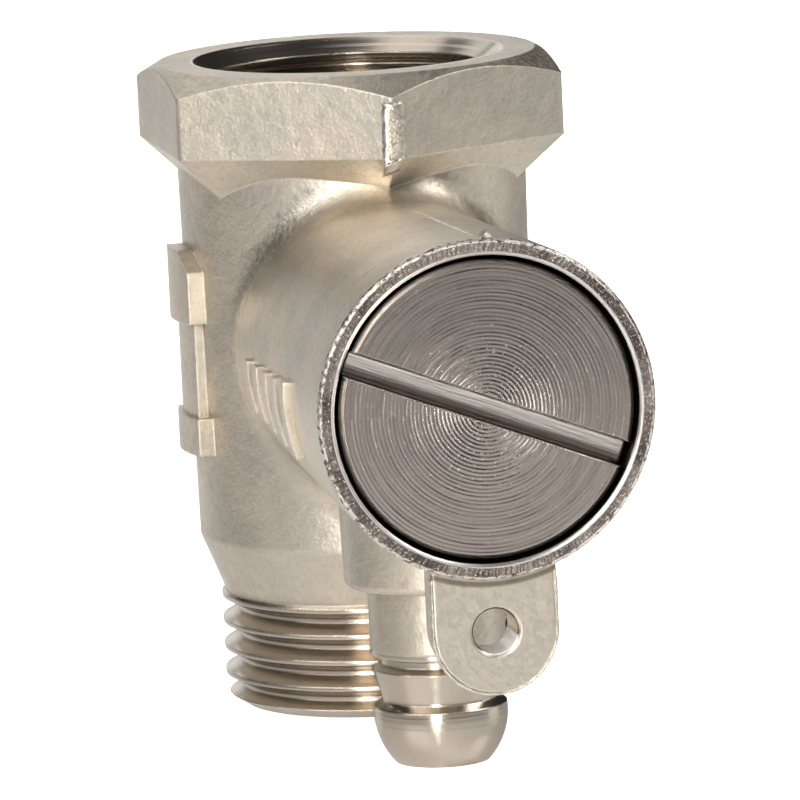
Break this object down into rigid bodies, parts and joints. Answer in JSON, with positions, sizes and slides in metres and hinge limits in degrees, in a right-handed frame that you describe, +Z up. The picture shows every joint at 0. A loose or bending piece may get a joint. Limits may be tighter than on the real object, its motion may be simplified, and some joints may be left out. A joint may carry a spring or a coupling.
{
  "type": "water heater safety valve",
  "caption": "Forged nickel-plated safety and non-return valve: hexagonal socket, threaded inlet spigot, relief branch with slotted adjusting plug, drain barb and seal ear.",
  "frame": {"origin": "centre of the end face of the threaded inlet spigot", "axes": "+Z up the main waterway from the inlet spigot to the hexagonal socket; the relief branch points along -Y"},
  "size_m": [0.027, 0.0576, 0.0456],
  "materials": {
    "nickel_forged": "satin, as-forged and nickel plated",
    "nickel_turned": "turned, nickel plated",
    "brass": "turned",
    "stainless": "turned",
    "spring_steel": "drawn wire",
    "rubber": "matt"
  },
  "bodies": {
    "body": {"valve_body": "nickel_forged", "check_seat": "brass", "check_guide": "brass", "check_circlip": "spring_steel", "relief_seat": "brass", "check_spring": "spring_steel", "relief_spring": "spring_steel"},
    "check_disc": {"check_poppet": "brass", "check_seal": "rubber", "check_seal_washer": "stainless", "check_seal_screw": "stainless"},
    "relief_disc": {"relief_disc_holder": "brass", "relief_seal": "rubber", "relief_seal_washer": "stainless", "relief_seal_screw": "stainless", "relief_spring_washer": "stainless"},
    "spring_seat": {"spring_seat": "brass"},
    "plug": {"adjusting_plug": "nickel_turned"}
  },
  "joints": [
    {"name": "check_lift", "type": "slide", "parent": "body", "child": "check_disc", "axis": [0, 0, 1], "range_m": [0, 0.0028], "stiffness_N_per_m": 150, "springref_m": -0.004, "deforming": ["check_spring"]},
    {"name": "relief_lift", "type": "slide", "parent": "body", "child": "relief_disc", "axis": [0, -1, 0], "range_m": [0, 0.0025], "stiffness_N_per_m": 5000, "springref_m": -0.004, "deforming": ["relief_spring"]},
    {"name": "plug_advance", "type": "slide", "parent": "body", "child": "spring_seat", "axis": [0, 1, 0], "range_m": [-0.00105, 0.00105], "deforming": ["relief_spring"]},
    {"name": "plug_turn", "type": "hinge", "parent": "spring_seat", "child": "plug", "pos_m": [0, -0.042, 0.0261], "axis": [0, 1, 0], "range_deg": [-360, 360]}
  ],
  "couplings": [
    {"joint": "plug_advance", "follows": "plug_turn", "m_per_rad": 0.00015915}
  ]
}
